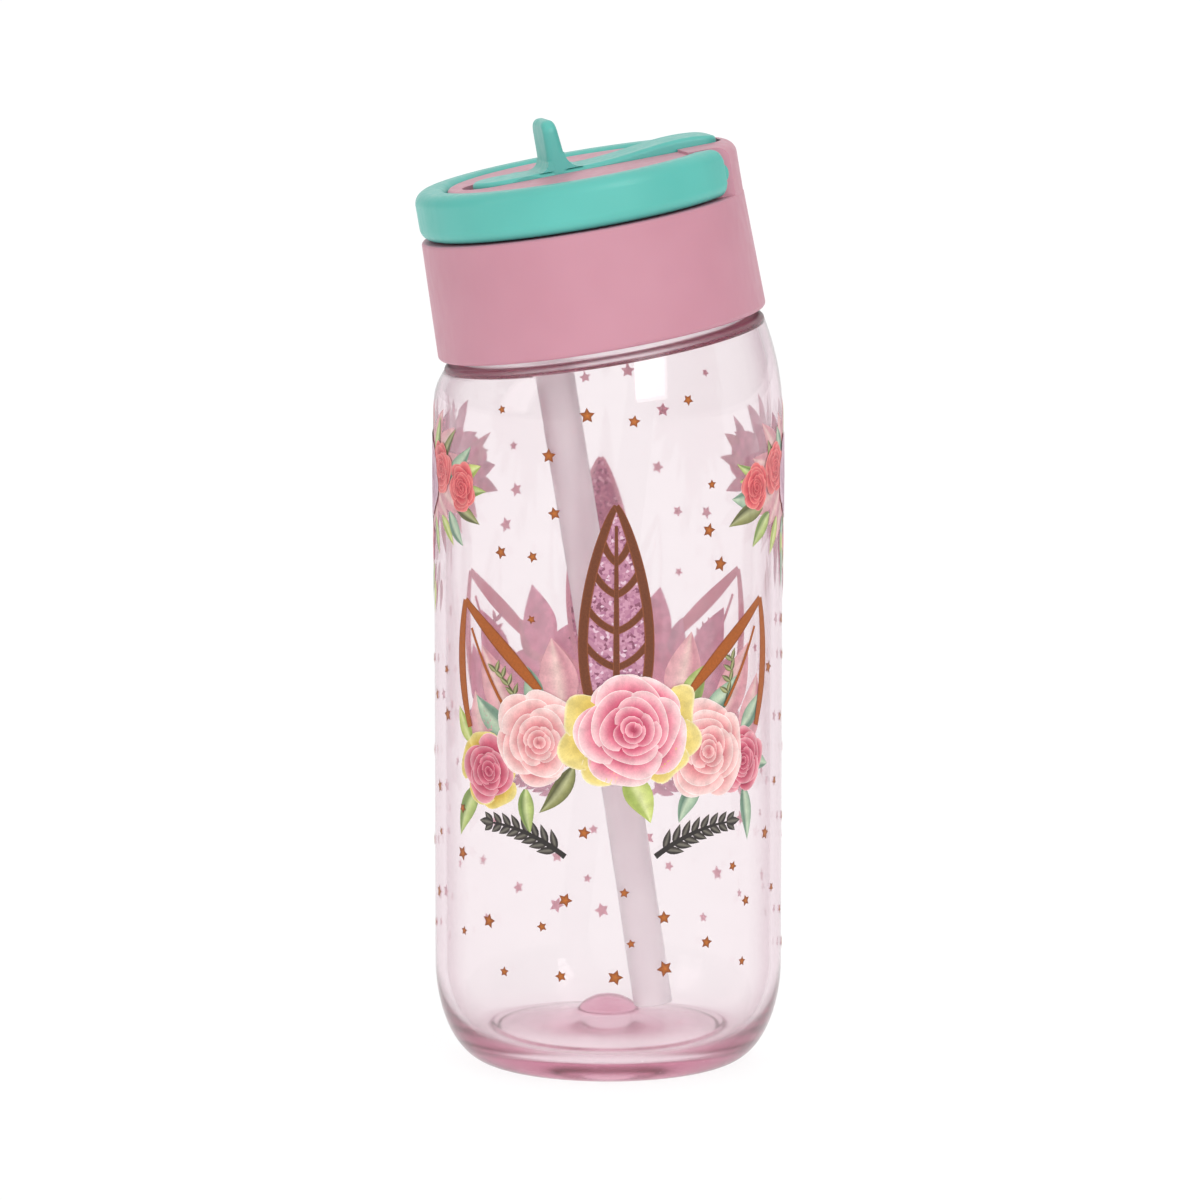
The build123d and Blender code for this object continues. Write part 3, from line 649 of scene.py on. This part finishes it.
def tall_leaf(shift, side):
    """Glitter leaf with a copper outline, rib and slanting veins."""
    height = TALL_LEAF_TIP - TALL_LEAF_FOOT
    glitter = Ink(f"print_{side}_glitter", shift)
    rows = []
    for s in steps(40, 0, 0.985):
        half = tall_leaf_half(s)
        z = TALL_LEAF_FOOT + height * s
        row = [(TALL_LEAF_U + half * a, z, LIFT_LOW, PALE_LILAC) for a in steps(12, -1, 1)]
        rows.append(row)
    glitter.sheet(rows)
    copper = Ink(f"print_{side}_copper", shift)
    for hand in (-1, 1):
        path = []
        for s in steps(44):
            path.append((TALL_LEAF_U + hand * tall_leaf_half(s), TALL_LEAF_FOOT + height * s))
        widths = [2.0 - 0.9 * s**10 for s in steps(44)]
        lift = CROSSING * (hand + 1) / 2
        stroke(copper, path, widths, LIFT_OUTLINE + lift, BRONZE, BRONZE_EDGE)
        for share in (0.2, 0.38, 0.56, 0.72):
            z = TALL_LEAF_FOOT + height * share
            reach = tall_leaf_half(share + 0.1)
            end = (TALL_LEAF_U + hand * reach, z + 5.2)
            path = curve((TALL_LEAF_U, z), (TALL_LEAF_U + hand * reach * 0.6, z + 1.2), end, 8)
            stroke(copper, path, [1.4] * 9, LIFT_VEIN + lift, BRONZE, BRONZE_EDGE)
    rib = [(TALL_LEAF_U, z) for z in steps(30, TALL_LEAF_FOOT, TALL_LEAF_TIP - 4)]
    widths = [1.5 - 0.03 * i for i in range(31)]
    stroke(copper, rib, widths, LIFT_OUTLINE + 2 * CROSSING, BRONZE, BRONZE_EDGE)
    for hand in (-1, 1):
        outline_leaf(copper, hand)
    return [glitter, copper]


def outline_leaf(copper, hand):
    """Open copper leaf that leans outwards, with a thin rib."""
    foot = (TALL_LEAF_U + hand * 15.5, 83.0)
    outer_foot = (TALL_LEAF_U + hand * 33.0, 74.0)
    tip = (TALL_LEAF_U + hand * 34.4, 99.4)
    inner = curve(foot, (foot[0] + hand * 7, 90.5), tip, 20)
    outer = curve(outer_foot, (outer_foot[0] + hand * 4.5, 86.0), tip, 20)
    rib_foot = (foot[0] + hand * 8, 79.0)
    rib_bend = (foot[0] + hand * 13, 86.0)
    rib = curve(rib_foot, rib_bend, (tip[0] - hand * 2, 94.0), 16)
    stroke(copper, inner, [1.5 + 1.5 * sin(pi * s) for s in steps(20)], LIFT_OUTLINE)
    stroke(copper, outer, [1.4 + 1.0 * sin(pi * s) for s in steps(20)], LIFT_OUTLINE + CROSSING)
    stroke(copper, rib, [0.7] * 17, LIFT_OUTLINE + 2 * CROSSING)


def sprig(ink, start, bend, end):
    """Dark curved twig with pairs of small pointed leaves."""
    path = curve(start, bend, end, 16)
    stroke(ink, path, [1.2 - 0.05 * i for i in range(17)], LIFT_OUTLINE, DARK, DARK)
    for i in range(2, 17, 2):
        u, z = path[i]
        u0, z0 = path[i - 1]
        heading = degrees(atan2(z - z0, u - u0))
        for swing in (-42, 42):
            leaf(ink, u, z, heading + swing, 4.5 - 0.1 * i, 1.6, DARK_LIGHT, DARK)
    leaf(ink, *path[-1], heading, 3.6, 1.8, DARK_LIGHT, DARK)


def sprigs(shift, side):
    ink = Ink(f"print_{side}_sprigs", shift)
    sprig(ink, (-8.6, 50.0), (-16, 55.5), (-25.0, 55.5))
    sprig(ink, (9.4, 50.0), (17, 55.5), (25.8, 55.5))
    return [ink]


STARS = 50                 # on each face
STAR_SPACING = 7.0


def open_for_star(u, z):
    """True where the print has room for a star."""
    in_garland = abs(u) < 39 and 58 < z < 88
    in_leaf = abs(u - TALL_LEAF_U) < 9 and 80 < z < 124
    in_outline = 12 < abs(u) < 39 and 82 < z < 97
    in_bouquet = abs(u) > 24 and 96 < z < 142
    in_sprig = 6 < abs(u) < 30 and 47 < z < 60
    return not (in_garland or in_leaf or in_outline or in_bouquet or in_sprig)


def star_field(shift, side):
    """Scattered copper stars, spaced apart and clear of the other artwork."""
    ink = Ink(f"print_{side}_stars", shift)
    placed = []
    while len(placed) < STARS:
        u = random.uniform(-54, 54)
        z = random.uniform(24, 142)
        apart = all(hypot(u - a, z - b) > STAR_SPACING for a, b in placed)
        if apart and open_for_star(u, z):
            placed.append((u, z))
            star(ink, u, z, random.uniform(0.9, 1.75), random.uniform(0, tau))
    return [ink]


def side_bouquet(shift, name, seed):
    """Roses with sprays of leaves, between the two faces."""
    random.seed(seed)
    leaves = Ink(f"print_{name}_leaves", shift)
    for heading in range(0, 360, 20):
        far = 0.72 if 200 < heading < 340 else 1.0
        length = random.uniform(10, 15) * far
        u = 17 * cos(radians(heading)) * 0.6
        z = 122.6 + 7 * sin(radians(heading)) * 0.6
        leaf(leaves, u, z, heading + random.uniform(-8, 8), length, 5.2, *LEAF_BLUSH)
    for i, heading in enumerate(range(-70, 290, 18)):
        greens = (LEAF_GREEN, LEAF_LIME, LEAF_MIST, LEAF_OLIVE)[i % 4]
        u = 19 * cos(radians(heading))
        z = 119.6 + 6 * sin(radians(heading))
        leaf(leaves, u, z, heading + random.uniform(-14, 14), random.uniform(7, 12),
             random.uniform(2.4, 4.4), *greens, bend=random.uniform(-30, 30))
    for i in range(9):
        heading = -90 + random.uniform(-24, 24)
        greens = (LEAF_GREEN, LEAF_MIST, LEAF_LIME)[i % 3]
        leaf(leaves, random.uniform(-7, 7), 114 - 1.6 * i, heading, random.uniform(6, 9),
             random.uniform(1.8, 3.2), *greens, bend=random.uniform(-30, 30))
    roses = Ink(f"print_{name}_roses", shift)
    rose(roses, -20.5, 121.8, 5.0, ROSE_RED, LIFT_SMALL_ROSE, 15)
    rose(roses, 20.5, 121.8, 5.0, ROSE_RED, LIFT_SMALL_ROSE, 40)
    rose(roses, -11.4, 124.6, 5.4, ROSE_RED, LIFT_ROSE, 75)
    rose(roses, 11.4, 124.6, 5.4, ROSE_RED, LIFT_ROSE, 55)
    rose(roses, 0, 108.6, 4.6, ROSE_DEEP, LIFT_SMALL_ROSE, 5)
    middle = Ink(f"print_{name}_middle_rose", shift)
    rose(middle, 0, 122.0, 9.2, ROSE_LILAC, LIFT_CENTRE_ROSE, 30)
    return [leaves, roses, middle]


# ---- Materials --------------------------------------------------------------------------------
class Nodes:
    """A new node material with short ways to add and join nodes."""

    def __init__(self, name):
        self.material = bpy.data.materials.new(name)
        self.material.use_nodes = True
        self.tree = self.material.node_tree
        self.shader = self.tree.nodes["Principled BSDF"]
        self.place = self.add("TexCoord").outputs["Object"]

    def add(self, kind, **values):
        node = self.tree.nodes.new("ShaderNode" + kind)
        for key, value in values.items():
            setattr(node, key, value)
        return node

    def join(self, source, target):
        self.tree.links.new(source, target)

    def set(self, **values):
        for key, value in values.items():
            self.shader.inputs[key.replace("_", " ")].default_value = value

    def noise(self, feature, detail=3.0, stretch=None):
        """Noise whose features are about this many millimetres across."""
        node = self.add("TexNoise")
        node.inputs["Scale"].default_value = 1 / (feature * MM)
        node.inputs["Detail"].default_value = detail
        place = self.place
        if stretch:
            mapping = self.add("Mapping")
            mapping.inputs["Scale"].default_value = stretch
            self.join(place, mapping.inputs["Vector"])
            place = mapping.outputs["Vector"]
        self.join(place, node.inputs["Vector"])
        return node.outputs["Fac"]

    def span(self, value, low, high, start=0.35, end=0.65):
        """Maps start to end of a value onto low to high; the defaults suit a noise."""
        node = self.add("MapRange")
        node.inputs["From Min"].default_value = start
        node.inputs["From Max"].default_value = end
        node.inputs["To Min"].default_value = low
        node.inputs["To Max"].default_value = high
        self.join(value, node.inputs["Value"])
        return node.outputs["Result"]

    def blend(self, factor, first, second, mode="MIX"):
        """Mixes two colours or sockets by a factor or socket."""
        node = self.add("Mix", data_type="RGBA", blend_type=mode)
        for socket, value in ((0, factor), (6, first), (7, second)):
            if isinstance(value, bpy.types.NodeSocket):
                self.join(value, node.inputs[socket])
            else:
                node.inputs[socket].default_value = value
        return node.outputs[2]

    def sum(self, *values):
        """Adds several values."""
        total = values[0]
        for value in values[1:]:
            node = self.add("Math", operation="ADD")
            self.join(total, node.inputs[0])
            self.join(value, node.inputs[1])
            total = node.outputs[0]
        return total

    def bump(self, *layers):
        """Adds bump from (value, height in millimetres, strength) layers."""
        normal = None
        for value, height, strength in layers:
            node = self.add("Bump")
            node.inputs["Distance"].default_value = height * MM
            node.inputs["Strength"].default_value = strength
            self.join(value, node.inputs["Height"])
            if normal:
                self.join(normal, node.inputs["Normal"])
            normal = node.outputs["Normal"]
        self.join(normal, self.shader.inputs["Normal"])


TINT = (0.74, 0.06, 0.32, 1)
TINT_DENSITY = 24          # strength of the tint per metre of plastic
CLEAR = (0.97, 0.96, 0.96, 1)
EDGE_TINT = (0.45, 0.25, 0.33, 1)   # seen along the surface, where the plastic looks pinker
FROST = 0.14               # extra roughness of the underside, fading out up the corner
FROST_LOW = 4.0
FROST_HIGH = 14.0
NECK_FROST = 0.35          # extra roughness of the ledge and the moulded thread


def satin_plastic(name, colour, shade, roughness=0.42):
    """Moulded plastic: even colour with faint flow clouds, a fine grain and light rubbing."""
    nodes = Nodes(name)
    clouds = nodes.span(nodes.noise(18, 2), 0, 1)
    tone = nodes.blend(clouds, linear(colour), linear(shade))
    nodes.join(tone, nodes.shader.inputs["Base Color"])
    rubbed = nodes.span(nodes.noise(1.6, 4, (1, 1, 0.35)), roughness - 0.05, roughness + 0.07)
    nodes.join(rubbed, nodes.shader.inputs["Roughness"])
    nodes.set(IOR=1.49, Subsurface_Weight=0.06, Subsurface_Scale=0.8 * MM)
    nodes.bump((nodes.noise(0.22, 2), 0.01, 0.25), (nodes.noise(6, 1), 0.04, 0.15))
    return nodes.material


def clear_plastic():
    """Glossy tinted body: colour from its thickness, faint flow waves, dust and rubbing."""
    nodes = Nodes("tinted_clear_plastic")
    nodes.set(Transmission_Weight=1.0, IOR=1.5)
    facing = nodes.add("LayerWeight").outputs["Facing"]
    film = nodes.blend(nodes.span(facing, 0, 1, 0.5, 1.0), CLEAR, EDGE_TINT)
    nodes.join(film, nodes.shader.inputs["Base Color"])
    dust = nodes.span(nodes.noise(0.35, 2), 0.0, 0.12, 0.66, 0.74)
    rubbed = nodes.span(nodes.noise(9, 3), 0.015, 0.05)
    split = nodes.add("SeparateXYZ")
    nodes.join(nodes.place, split.inputs[0])
    frosted = nodes.span(split.outputs["Z"], FROST, 0.0, FROST_LOW * MM, FROST_HIGH * MM)
    up = nodes.add("VectorMath", operation="DOT_PRODUCT")
    up.inputs[1].default_value = NECK_UP
    nodes.join(nodes.place, up.inputs[0])
    foot = NECK_FOOT.dot(NECK_UP)
    low, high = (foot + SHOULDER_TOP - 0.8) * MM, (foot + SHOULDER_TOP + 0.4) * MM
    neck_frost = nodes.span(up.outputs["Value"], 0.0, NECK_FROST, low, high)
    total = nodes.sum(dust, rubbed, frosted, neck_frost)
    nodes.join(total, nodes.shader.inputs["Roughness"])
    nodes.bump((nodes.noise(14, 1, (1, 1, 0.25)), 0.05, 0.2))
    volume = nodes.add("VolumeAbsorption")
    volume.inputs["Color"].default_value = TINT
    volume.inputs["Density"].default_value = TINT_DENSITY
    output = nodes.tree.nodes["Material Output"]
    nodes.join(volume.outputs["Volume"], output.inputs["Volume"])
    return nodes.material


def straw_plastic():
    """Milky, half-clear tube with drawn lines along it."""
    nodes = Nodes("milky_straw_plastic")
    tone = nodes.blend(nodes.span(nodes.noise(7, 2), 0, 1), linear((252, 249, 250)),
                       linear((246, 242, 244)))
    nodes.join(tone, nodes.shader.inputs["Base Color"])
    nodes.set(Transmission_Weight=0.72, IOR=1.4)
    lines = nodes.noise(1.1, 3, (1, 1, 0.05))
    nodes.join(nodes.span(lines, 0.3, 0.42), nodes.shader.inputs["Roughness"])
    nodes.bump((lines, 0.02, 0.3))
    return nodes.material


def silicone():
    """Soft milky rubber with a matt, slightly cloudy skin."""
    nodes = Nodes("milky_silicone")
    tone = nodes.blend(nodes.span(nodes.noise(5, 3), 0, 1), linear((232, 230, 228)),
                       linear((214, 210, 208)))
    nodes.join(tone, nodes.shader.inputs["Base Color"])
    nodes.join(nodes.span(nodes.noise(1.2, 3), 0.5, 0.68), nodes.shader.inputs["Roughness"])
    nodes.set(IOR=1.41, Subsurface_Weight=0.35, Subsurface_Scale=1.5 * MM)
    nodes.bump((nodes.noise(0.4, 2), 0.01, 0.3))
    return nodes.material


def ink_colour(nodes):
    attribute = nodes.add("VertexColor", layer_name="ink")
    return attribute.outputs["Color"]


def painted_ink():
    """Printed ink with the soft blotches and pigment grain of a watercolour."""
    nodes = Nodes("printed_ink")
    washes = nodes.span(nodes.noise(2.2, 4), 0.86, 1.1)
    grain = nodes.span(nodes.noise(0.3, 2), 0.95, 1.05)
    washed = nodes.add("Math", operation="MULTIPLY")
    nodes.join(washes, washed.inputs[0])
    nodes.join(grain, washed.inputs[1])
    scale = nodes.add("VectorMath", operation="SCALE")
    nodes.join(ink_colour(nodes), scale.inputs[0])
    nodes.join(washed.outputs[0], scale.inputs["Scale"])
    nodes.join(scale.outputs[0], nodes.shader.inputs["Base Color"])
    nodes.join(nodes.span(nodes.noise(0.8, 3), 0.38, 0.52), nodes.shader.inputs["Roughness"])
    nodes.bump((nodes.noise(0.3, 2), 0.01, 0.3))
    return nodes.material


def copper_ink():
    """Copper-brown ink with a dull metallic fleck."""
    nodes = Nodes("copper_ink")
    flecks = nodes.span(nodes.noise(0.25, 2), 0.86, 1.16)
    scale = nodes.add("VectorMath", operation="SCALE")
    nodes.join(ink_colour(nodes), scale.inputs[0])
    nodes.join(flecks, scale.inputs["Scale"])
    nodes.join(scale.outputs[0], nodes.shader.inputs["Base Color"])
    nodes.set(Metallic=0.25)
    nodes.join(nodes.span(nodes.noise(0.6, 3), 0.36, 0.55), nodes.shader.inputs["Roughness"])
    nodes.bump((nodes.noise(0.25, 2), 0.015, 0.4))
    return nodes.material


def glitter_ink():
    """Lilac ink filled with flakes of several pinks, each flake tilted its own way."""
    nodes = Nodes("glitter_ink")
    flakes = nodes.add("TexVoronoi")
    flakes.inputs["Scale"].default_value = 1 / (0.55 * MM)
    nodes.join(nodes.place, flakes.inputs["Vector"])
    split = nodes.add("SeparateColor")
    nodes.join(flakes.outputs["Color"], split.inputs[0])
    ramp = nodes.add("ValToRGB")
    stops = ramp.color_ramp
    stops.interpolation = "CONSTANT"
    stops.elements[0].color = linear((150, 92, 116))
    stops.elements[1].position = 0.12
    stops.elements[1].color = linear((204, 150, 172))
    for position, colour in (
        (0.45, (222, 172, 192)), (0.75, (190, 132, 160)), (0.9, (246, 222, 232)),
    ):
        stops.elements.new(position).color = linear(colour)
    nodes.join(split.outputs[0], ramp.inputs["Fac"])
    nodes.join(nodes.blend(0.5, ramp.outputs["Color"], ink_colour(nodes), "MULTIPLY"),
               nodes.shader.inputs["Base Color"])
    nodes.join(nodes.span(split.outputs[1], 0.25, 0.6, 0, 1), nodes.shader.inputs["Roughness"])
    nodes.bump((split.outputs[2], 0.05, 0.5))
    return nodes.material


# ---- Building ---------------------------------------------------------------------------------
PINK = (204, 144, 160)
PINK_SHADE = (200, 139, 155)
TEAL = (95, 192, 181)
TEAL_SHADE = (91, 186, 175)

painted = painted_ink()
copper = copper_ink()
glitter = glitter_ink()
MATERIAL_OF = {"copper": copper, "stars": copper, "glitter": glitter}


def print_pieces():
    """Both faces and both side bouquets."""
    inks = []
    for side, shift in (("front", 0.0), ("back", HALF_TURN)):
        random.seed(11)
        inks += garland(shift, side) + tall_leaf(shift, side) + sprigs(shift, side)
        inks += star_field(shift, side)
    for name, shift in (("left", -HALF_TURN / 2), ("right", HALF_TURN / 2)):
        inks += side_bouquet(shift, name, 23)
    for ink in inks:
        ink.piece(MATERIAL_OF.get(ink.name.split("_", 2)[2], painted))


def paint(node, material):
    """Gives a CAD node its material."""
    piece = frame["nodes"][node]
    piece.data.materials.clear()
    piece.data.materials.append(material)


body = clear_body()
body.data.materials.append(clear_plastic())
print_pieces()

pink = satin_plastic("pink_satin_plastic", PINK, PINK_SHADE)
liner = satin_plastic("pink_liner_plastic", (206, 140, 158), (200, 134, 152), 0.5)
teal = satin_plastic("teal_satin_plastic", TEAL, TEAL_SHADE, 0.38)
milky = silicone()
paint("cap_shell", pink)
paint("cap_liner", liner)
paint("seal_retainer", liner)
paint("carry_handle", teal)
paint("flip_spout", teal)
paint("neck_gasket", milky)
paint("spout_seal", milky)
paint("vent_valve", milky)
paint("straw", straw_plastic())

# ---- Light, floor and camera ---------------------------------------------------------------------
CAMERA_PLACE_M = (0.0, -1.5894, 0.3450)
CAMERA_AIM_M = (-0.00167, 0.0, 0.09355)
CAMERA_LENS = 240
FLOOR_HALF_M = 4.0
FLOOR_GLOW = 0.85          # the floor is a softly lit pale table
SIDE_LIGHT = 0.45          # brightness of the surroundings far to the left and right


def studio_world():
    """White surroundings that are a little darker far to the left and right."""
    world = bpy.data.worlds.new("studio")
    bpy.context.scene.world = world
    world.use_nodes = True
    tree = world.node_tree
    background = tree.nodes["Background"]
    background.inputs["Color"].default_value = (1, 1, 1, 1)
    direction = tree.nodes.new("ShaderNodeTexCoord")
    split = tree.nodes.new("ShaderNodeSeparateXYZ")
    sideways = tree.nodes.new("ShaderNodeMath")
    sideways.operation = "ABSOLUTE"
    strength = tree.nodes.new("ShaderNodeMapRange")
    for name, value in (
        ("From Min", 0.3), ("From Max", 0.9), ("To Min", 1.0), ("To Max", SIDE_LIGHT),
    ):
        strength.inputs[name].default_value = value
    tree.links.new(direction.outputs["Generated"], split.inputs[0])
    tree.links.new(split.outputs["X"], sideways.inputs[0])
    tree.links.new(sideways.outputs[0], strength.inputs["Value"])
    tree.links.new(strength.outputs["Result"], background.inputs["Strength"])


def studio_floor():
    """Wide pale floor with a faint paper-like mottle."""
    mesh = bpy.data.meshes.new("studio_floor")
    half = FLOOR_HALF_M
    corners = [(-half, -half, 0), (half, -half, 0), (half, half, 0), (-half, half, 0)]
    mesh.from_pydata([(x, y, -0.02 * MM) for x, y, _ in corners], [], [(0, 1, 2, 3)])
    floor = bpy.data.objects.new("studio_floor", mesh)
    bpy.context.scene.collection.objects.link(floor)
    nodes = Nodes("pale_floor")
    tone = nodes.blend(nodes.span(nodes.noise(40, 3), 0, 1), (0.16, 0.16, 0.16, 1),
                       (0.14, 0.14, 0.14, 1))
    nodes.join(tone, nodes.shader.inputs["Base Color"])
    nodes.set(Roughness=0.9, Emission_Color=(1, 1, 1, 1), Emission_Strength=FLOOR_GLOW)
    mesh.materials.append(nodes.material)


def soft_box(name, place, aim, wide, tall, watts):
    lamp = bpy.data.lights.new(name, "AREA")
    lamp.shape = "RECTANGLE"
    lamp.size = wide
    lamp.size_y = tall
    lamp.energy = watts
    light = bpy.data.objects.new(name, lamp)
    light.location = place
    light.rotation_euler = (Vector(aim) - Vector(place)).to_track_quat("-Z", "Y").to_euler()
    bpy.context.scene.collection.objects.link(light)


def camera():
    data = bpy.data.cameras.new("camera")
    data.lens = CAMERA_LENS
    data.clip_start = 0.05
    place = bpy.data.objects.new("camera", data)
    place.location = CAMERA_PLACE_M
    away = Vector(CAMERA_AIM_M) - Vector(CAMERA_PLACE_M)
    place.rotation_euler = away.to_track_quat("-Z", "Y").to_euler()
    bpy.context.scene.collection.objects.link(place)
    bpy.context.scene.camera = place


studio_world()
studio_floor()
soft_box("soft_box_front", (0.55, -1.0, 0.75), (0, 0, 0.11), 0.5, 0.9, 4)
soft_box("soft_box_left", (-1.1, -0.5, 0.6), (0, 0, 0.11), 0.5, 0.9, 1.5)
camera()
scene = bpy.context.scene
scene.view_settings.view_transform = "Standard"
scene.cycles.max_bounces = 64
scene.cycles.transmission_bounces = 48
scene.cycles.glossy_bounces = 48
scene.cycles.diffuse_bounces = 8
scene.cycles.blur_glossy = 0.0   # light that comes in through the clear wall counts in full
